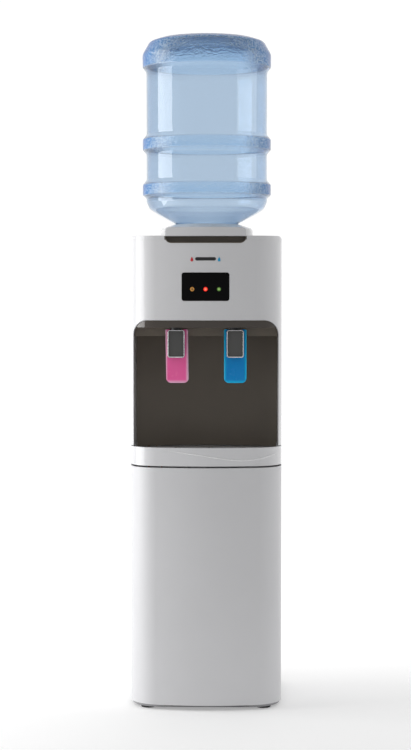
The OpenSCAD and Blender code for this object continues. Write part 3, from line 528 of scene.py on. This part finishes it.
def bottle():
    """Thin-walled bottle with hammered dimples pressed into its bands."""
    segments = BOTTLE_SEGMENTS
    points = bottle_profile()
    outline = rounded([(r, z) for r, z, _ in points], [c for _, _, c in points], 6)
    outline = [(r * MM, z * MM) for r, z in outline]
    outer = spaced(outline, texture_step)
    inner = inner_wall(outline)
    verts_r = np.array([p[0] for p in outer + inner])
    verts_z = np.array([p[1] for p in outer + inner])
    angle = np.arange(segments) * 2 * math.pi / segments
    radius = np.repeat(verts_r, segments)
    height = np.repeat(verts_z, segments)
    turn = np.tile(angle, len(verts_r))
    path = np.concatenate([[0], np.cumsum(np.hypot(np.diff(verts_r), np.diff(verts_z)))])
    along = np.repeat(path, segments)
    is_outer = np.repeat(np.arange(len(verts_r)) < len(outer), segments)
    fade = np.clip((radius - FADE_START) / FADE_WIDTH, 0, 1)
    weight = band_weight(height, TEXTURED) * is_outer * fade
    columns = round(2 * math.pi * BOTTLE_HIGH.x / CELL)
    relief = dimples(turn / (2 * math.pi) * columns * CELL, along, CELL, columns)
    depth = -RELIEF * np.clip(1 - relief * 1.5, 0, 1) * weight
    # Relief moves the wall in along its own normal, seen in the profile
    slope_r = np.gradient(verts_r)
    slope_z = np.gradient(verts_z)
    size = np.hypot(slope_r, slope_z) + 1e-12
    out_r, out_z = np.repeat(slope_z / size, segments), np.repeat(-slope_r / size, segments)
    radius = radius + depth * out_r
    height = height + depth * out_z
    verts = np.stack([AXIS.x + radius * np.cos(turn), AXIS.y + radius * np.sin(turn), height], 1)
    rows = len(verts_r)
    k = np.arange(segments)
    n = (k + 1) % segments
    faces = []
    for row in range(rows):
        other = (row + 1) % rows
        if verts_r[row] < 1e-6 and verts_r[other] < 1e-6:
            continue
        here, there = row * segments, other * segments
        faces.append(np.stack([here + k, here + n, there + n, there + k], 1))
    faces = np.concatenate(faces)
    mesh = bpy.data.meshes.new("bottle_shell")
    mesh.from_pydata(verts.tolist(), [], faces.tolist())
    bm = bmesh.new()
    bm.from_mesh(mesh)
    bmesh.ops.remove_doubles(bm, verts=bm.verts, dist=1e-6)
    bmesh.ops.recalc_face_normals(bm, faces=bm.faces)
    bm.to_mesh(mesh)
    bm.free()
    mesh.polygons.foreach_set("use_smooth", [True] * len(mesh.polygons))
    mesh.materials.append(MATERIALS["bottle_blue"])
    place(collection_object("bottle_shell", mesh), "bottle", ["bottle"])


# ---- Levers, spout covers and bezels ----

# Rings that close the front and the back of a plate
CAP_RINGS = 5
# The slot in a lever that lets it straddle its tap
SLOT_HALF, SLOT_DEPTH = 12.5 * MM, 34 * MM
# A lever is straight down to here, then bellies forwards and kicks back at its foot
STRAIGHT = 40 * MM
BELLY = 2.2 * MM
KICK = 1.0 * MM


def outline_tile(width, height, low_radius, high_radius, steps=8):
    """Rectangle centred on x = 0 with its top at z = 0 and rounded corners, as (x, z) points."""
    x = width / 2
    corners = [
        (x - low_radius, -height + low_radius, low_radius, -90),
        (x - high_radius, -high_radius, high_radius, 0),
        (-x + high_radius, -high_radius, high_radius, 90),
        (-x + low_radius, -height + low_radius, low_radius, 180),
    ]
    points = []
    for cx, cz, r, start in corners:
        for k in range(steps + 1):
            a = math.radians(start + 90 * k / steps)
            points.append((cx + r * math.cos(a), cz + r * math.sin(a)))
    return points


def soft_plate(name, outline, centre_x, top_z, front_y, back_y, edge, shape, material, steps=5):
    """Plate with an outline in x and z whose front and back edges are rounded.

    shape(x, z) gives how far a point of the plate moves back, and how far sideways.
    """
    loops = []
    for k in range(steps + 1):
        a = math.pi / 2 * k / steps
        loops.append((edge * (1 - math.sin(a)), front_y + edge * (1 - math.cos(a))))
    for k in range(steps, -1, -1):
        a = math.pi / 2 * k / steps
        loops.append((edge * (1 - math.sin(a)), back_y - edge * (1 - math.cos(a))))
    n = len(outline)
    centre = Vector((sum(p[0] for p in outline) / n, sum(p[1] for p in outline) / n))
    verts = []
    for inset, y in loops:
        for k, (x, z) in enumerate(outline):
            before, after = Vector(outline[k - 1]), Vector(outline[(k + 1) % n])
            normal = (after - before).normalized()
            px, pz = x - normal.y * inset, z + normal.x * inset
            back, aside = shape(px, pz)
            verts.append((centre_x + px + aside, y + back, top_z + pz))
    count = len(loops)
    faces = ring_faces(count, n)
    # Caps made of rings that shrink towards a centre line, so that they follow the shape
    for row, y in ((0, front_y), (count - 1, back_y)):
        previous = [row * n + k for k in range(n)]
        base = [(verts[i][0], verts[i][2]) for i in previous]
        for ring in range(1, CAP_RINGS + 1):
            t = ring / (CAP_RINGS + 1)
            start = len(verts)
            for bx, bz in base:
                x = bx + (centre_x + centre.x - bx) * t
                z = bz + (top_z + centre.y - bz) * t
                back, _ = shape(x - centre_x, z - top_z)
                verts.append((x, y + back, z))
            current = list(range(start, start + n))
            for k in range(n):
                m = (k + 1) % n
                faces.append((previous[k], previous[m], current[m], current[k]))
            previous = current
        faces.append(tuple(previous))
    return outward(mesh_piece(name, verts, faces, material))


def lever(name, node, material, sideways):
    """Push lever: a rounded paddle that curves gently, and leans sideways by the amount given."""
    low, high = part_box(node)
    width, height = high.x - low.x, high.z - low.z
    outline = outline_tile(width, height, 10 * MM, 2 * MM)
    corner = len(outline) // 4
    slot = [(SLOT_HALF, 0), (SLOT_HALF, -SLOT_DEPTH), (-SLOT_HALF, -SLOT_DEPTH), (-SLOT_HALF, 0)]
    points = outline[:2 * corner] + rounded(slot, 3 * MM) + outline[2 * corner:]

    def shape(_, z):
        t = min(1.0, max(0.0, (-z - STRAIGHT) / (height - STRAIGHT)))
        return -BELLY * math.sin(math.pi * t) + KICK * t, sideways * min(1, -z / height)

    plate = soft_plate(name, points, middle(node).x, high.z, low.y, high.y, 2.0 * MM, shape, material)
    place(plate, node, [node])


def levers():
    """The hot lever leans a little to the right; the cold lever hangs straight."""
    # The second colour of each lever is the painted glow of its sides and foot.
    pink = lever_shader("pink_lever", (1.0, 0.15, 0.43), (1.0, 0.60, 0.80), "hot_lever")
    blue = lever_shader("blue_lever", (0.0, 0.27, 0.68), (0.0, 0.62, 1.0), "cold_lever")
    lever("hot_lever_paddle", "hot_lever", pink, 1.6 * MM)
    lever("cold_lever_paddle", "cold_lever", blue, 0.0)


def lever_shader(name, colour, painted_glow_colour, node):
    """Translucent plastic with a painted glow: paler at its sides and foot, as if light came through
    the edge.
    """
    s = Shader(name)
    low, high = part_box(node)
    xyz = separate(s)
    across = math_node(s, "SUBTRACT", (xyz, "X"), (low.x + high.x) / 2)
    from_middle = math_node(s, "ABSOLUTE", (across, 0))
    half = (high.x - low.x) / 2
    # Painted glow: the colour turns paler towards the sides and the foot of the lever.
    side = s.ramp(from_middle, 0, 0, 1, half - 5 * MM, half + 0.5 * MM)
    foot = s.ramp(xyz, "Z", 1, 0, low.z - 0.5 * MM, low.z + 7 * MM)
    edge = math_node(s, "MAXIMUM", (side, "Result"), (foot, "Result"))
    cloud = s.noise(35, 2)
    mixed = math_node(s, "ADD", (edge, 0), (math_node(s, "MULTIPLY", (cloud, "Fac"), 0.10), 0))
    s.vary_colour(mixed, colour, painted_glow_colour, 0, 0.05, 0.95)
    s.vary_roughness(s.noise(60, 2), 0.2, 0.28)
    s.bump(s.noise(900, 2), 0.006 * MM)
    s.set(IOR=1.36, Subsurface_Weight=0.15, Subsurface_Scale=0.004)
    s.bsdf.inputs["Subsurface Radius"].default_value = (1, 1, 1)
    return s.material


def bead(name, outline, centre_x, top_z, centre_y, widths, depth, material):
    """Closed moulding of oval section that follows an outline in x and z.

    widths are those of its sides, top and foot.
    """
    verts = []
    n, around = len(outline), 12
    for k, (x, z) in enumerate(outline):
        before, after = Vector(outline[k - 1]), Vector(outline[(k + 1) % n])
        along = (after - before).normalized()
        normal = Vector((along.y, -along.x))
        side, top, foot = widths
        share = normal.y * normal.y
        width = side * (1 - share) + (top if normal.y > 0 else foot) * share
        for m in range(around):
            a = 2 * math.pi * m / around
            across = width / 2 * math.cos(a) - width / 2
            verts.append((centre_x + x + normal.x * across, centre_y + depth / 2 * math.sin(a),
                          top_z + z + normal.y * across))
    return outward(mesh_piece(name, verts, ring_faces(n, around, close=True), material))


# Widths of the chrome bead at its sides, top and foot
BEAD_WIDTHS = (2.4 * MM, 2.4 * MM, 3.8 * MM)
# How far the bead stands out past its CAD node, front and back together
BEAD_EXTRA = 1.4 * MM
# How far the face curves back at its sides, and how round its edge is
FACE_CROWN = 0.9 * MM
FACE_EDGE = 1.2 * MM


def spouts():
    """Grey face of each spout with a thin chrome bead round it."""
    for side in ("hot", "cold"):
        cover, bezel = side + "_spout_cover", side + "_spout_bezel"
        low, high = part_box(cover)
        outline = outline_tile(high.x - low.x - FACE_EDGE, high.z - low.z, 4 * MM, 4 * MM)

        def crown(x, _, half=(high.x - low.x) / 2):
            return FACE_CROWN * (x / half) ** 2, 0

        face = soft_plate(side + "_spout_face", outline, middle(cover).x, high.z, low.y, high.y,
                          FACE_EDGE, crown, MATERIALS["spout_grey"])
        place(face, "cabinet", [cover])
        low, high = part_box(bezel)
        outline = outline_tile(high.x - low.x, high.z - low.z, 5.5 * MM, 5 * MM)
        ring = bead(side + "_spout_ring", outline, middle(bezel).x, high.z, middle(bezel).y,
                    BEAD_WIDTHS, high.y - low.y + BEAD_EXTRA, MATERIALS["chrome"])
        place(ring, "cabinet", [bezel])


# ---- Front details ----

# How deep the foot of the rib is sunk into the surface
SUNK = 0.05 * MM
# The raised line on the tray's band, as millimetres across and above the band's top edge
SWEEP = [(-86, -5), (-40, -11), (7, -18), (52, -24.5), (82, -25.5), (112, -22), (134, -16.5),
         (146, -12)]
# Height of the badge's centre, and how far it stands out
BADGE_Z = 918 * MM
BADGE_HEIGHT = 0.7 * MM


def ribbon(name, path, width, height, material, body):
    """Low half-round rib that follows points on the bowed front, as (x, z), with tapered ends."""
    verts = []
    section = [(math.cos(a), math.sin(a)) for a in [math.pi * k / 6 for k in range(7)]]
    n = len(section)
    for k, (x, z) in enumerate(path):
        ax, az = path[max(0, k - 1)]
        bx, bz = path[min(len(path) - 1, k + 1)]
        along = Vector((bx - ax, bz - az)).normalized()
        taper = min(1, 0.15 + 6 * k / len(path), 0.15 + 6 * (len(path) - 1 - k) / len(path))
        for c, h in section:
            px, pz = x - along.y * c * width / 2 * taper, z + along.x * c * width / 2 * taper
            verts.append((px, bow(px, h * height * taper) + SUNK, pz))
    faces = ring_faces(len(path), n)
    faces += [tuple(range(n)), tuple(reversed([(len(path) - 1) * n + m for m in range(n)]))]
    piece = outward(mesh_piece(name, verts, faces, material))
    return place(piece, body)


def smooth_path(points, n=10):
    """Catmull-Rom curve through the points."""
    out = []
    for i in range(len(points) - 1):
        a = Vector(points[max(0, i - 1)])
        b, c = Vector(points[i]), Vector(points[i + 1])
        d = Vector(points[min(len(points) - 1, i + 2)])
        for k in range(n):
            t = k / n
            out.append(tuple(0.5 * (2 * b + (c - a) * t + (2 * a - 5 * b + 4 * c - d) * t * t
                                    + (3 * b - a - 3 * c + d) * t ** 3)))
    out.append(tuple(points[-1]))
    return out


def swoosh():
    """Raised curved line across the front of the drip tray, in a lighter white that paints its
    highlight.
    """
    path = smooth_path([(x * MM, TRAY_TOP + z * MM) for x, z in SWEEP])
    # The rib's lighter white is a painted highlight.
    rib = MATERIALS["painted_highlight_rib"]
    ribbon("tray_swoosh", path, 2.2 * MM, 1.1 * MM, rib, "drip_tray")


def pebble(name, outline, centre, height, material, body):
    """Low domed badge on the bowed front with an outline of (x, z) points about its centre."""
    verts = []
    # Size of each ring of the dome, and its share of the height
    rings = [(1.0, -0.05), (1.0, 0.45), (0.93, 0.8), (0.8, 0.95), (0.45, 1.0)]
    n = len(outline)
    for size, rise in rings:
        for x, z in outline:
            px, pz = centre[0] + x * size, centre[1] + z * size
            verts.append((px, bow(px, rise * height), pz))
    faces = ring_faces(len(rings), n)
    faces += [tuple(range(n)), tuple((len(rings) - 1) * n + k for k in range(n))]
    return place(outward(mesh_piece(name, verts, faces, material)), body)


def badge():
    """Plain badge: a dark bar between a warm and a cool droplet."""
    for name, outline, x, z, material, slot_name in (
        ("badge_bar", rounded_bar(21 * MM, 3.4 * MM), 0, 0, "badge_black", "window_black"),
        ("badge_warm", droplet(8.5 * MM, 10 * MM), -27.5, -0.4, "badge_red", "rocker_red"),
        ("badge_cool", droplet(8.5 * MM, 10 * MM), 27.5, -0.4, "badge_cyan", "lever_blue"),
    ):
        centre = (x * MM, BADGE_Z + z * MM)
        pebble(name, outline, centre, BADGE_HEIGHT, MATERIALS[material], "cabinet")


def rounded_bar(half, thick, steps=10):
    """Outline of a bar with round ends."""
    right = [(half - thick + thick * math.cos(a), thick * math.sin(a))
             for a in [math.pi * (k / steps - 0.5) for k in range(steps + 1)]]
    return right + [(-x, -z) for x, z in right]


def droplet(width, height, steps=28):
    """Teardrop with its point up."""
    points = []
    for k in range(steps):
        a = 2 * math.pi * k / steps
        pinch = math.sin(a / 2) ** 1.6
        points.append((width / 2 * math.sin(a) * pinch, height / 2 * math.cos(a)))
    return points


# ---- Stage, light and camera ----

# Glow of the floor round the object and behind it
FLOOR_GLOW = 0.24
FAR_GLOW = 0.30
FLOOR_REACH = 9
# Brightness of the surroundings in front of the object and behind it
FRONT_SKY = 0.405
BACK_SKY = 1.02
# Where the camera stands, how far it looks down, and its lens in millimetres
CAMERA_AT = (0.068, -4.012, 0.855)
CAMERA_DOWN = 2.545
LENS = 91.6


def stage():
    """Pale floor that hides its own edges in the glow."""
    s = Shader("pale_floor")
    s.vary_colour(s.noise(1.5, 2), (0.80, 0.80, 0.80), (0.82, 0.82, 0.82))
    s.vary_roughness(s.noise(3, 2), 0.7, 0.8)
    # The floor's own light fades out towards the camera, so that it doesn't light the front
    depth = separate(s)
    near = s.ramp(depth, "Y", 0.0, FLOOR_GLOW, -1.1, -0.55)
    far = s.ramp(depth, "Y", 0.0, FAR_GLOW, -0.2, 0.8)
    s.link(math_node(s, "ADD", (near, "Result"), (far, "Result")), 0, s.bsdf, "Emission Strength")
    s.set(Emission_Color=(1, 1, 1, 1))
    corners = [(x * FLOOR_REACH, y * FLOOR_REACH, 0) for x, y in ((-1, -1), (1, -1), (1, 1), (-1, 1))]
    mesh_piece("floor", corners, [(0, 1, 2, 3)], s.material)


# Height of the object's middle, and how much of the way a softbox tilts towards it
AIM_Z = 0.8
TILT = 0.3


def light_panel(name, azimuths, heights, distance, radiance):
    """Softbox seen from the object between two azimuths and two heights.

    The azimuths are degrees from the front, towards the left.
    """
    low, high = (math.radians(a) for a in azimuths)
    mid = (low + high) / 2
    height = (heights[0] + heights[1]) / 2
    place_at = Vector((-math.sin(mid) * distance, -math.cos(mid) * distance, height))
    size = (2 * distance * math.tan((high - low) / 2), heights[1] - heights[0])
    data = bpy.data.lights.new(name, "AREA")
    data.shape = "RECTANGLE"
    data.size, data.size_y = size
    data.energy = radiance * math.pi * size[0] * size[1]
    light = bpy.data.objects.new(name, data)
    light.location = place_at
    aim = Vector((0, 0, place_at.z + (AIM_Z - place_at.z) * TILT))
    light.rotation_euler = (aim - place_at).to_track_quat("-Z", "Y").to_euler()
    bpy.context.scene.collection.objects.link(light)


def lights():
    """Two softboxes in surroundings that are bright behind the object and dim in front of it."""
    light_panel("softbox_left", (66, 102), (0.0, 2.1), distance=1.7, radiance=3.5)
    light_panel("softbox_right", (-108, -58), (1.05, 1.9), distance=1.9, radiance=0.9)
    world = bpy.data.worlds.new("studio")
    bpy.context.scene.world = world
    world.use_nodes = True
    tree = world.node_tree
    tree.nodes.clear()
    coords = tree.nodes.new("ShaderNodeTexCoord")
    split = tree.nodes.new("ShaderNodeSeparateXYZ")
    # From the dim front, along y, to the bright back
    ramp = tree.nodes.new("ShaderNodeMapRange")
    ramp.interpolation_type = "SMOOTHSTEP"
    ramp.inputs["From Min"].default_value = -0.2
    ramp.inputs["From Max"].default_value = 0.85
    ramp.inputs["To Min"].default_value = FRONT_SKY
    ramp.inputs["To Max"].default_value = BACK_SKY
    background = tree.nodes.new("ShaderNodeBackground")
    background.inputs["Color"].default_value = (1, 1, 1, 1)
    out = tree.nodes.new("ShaderNodeOutputWorld")
    tree.links.new(coords.outputs["Generated"], split.inputs[0])
    tree.links.new(split.outputs["Y"], ramp.inputs["Value"])
    tree.links.new(ramp.outputs["Result"], background.inputs["Strength"])
    tree.links.new(background.outputs[0], out.inputs["Surface"])
    bpy.context.scene.view_settings.view_transform = "Standard"
    bpy.context.scene.view_settings.look = "None"


def camera():
    """Eye height a little right of centre, looking slightly down at the front."""
    data = bpy.data.cameras.new("camera")
    data.sensor_width = 36
    data.lens = LENS
    data.clip_end = 60
    view = bpy.data.objects.new("camera", data)
    view.location = CAMERA_AT
    turn = math.atan2(view.location.x, FRONT_Y - view.location.y)
    view.rotation_euler = (math.radians(90 - CAMERA_DOWN), 0, turn)
    bpy.context.scene.collection.objects.link(view)
    bpy.context.scene.camera = view


# ---- Build ----

bottle()
levers()
spouts()
swoosh()
badge()
stage()
lights()
camera()
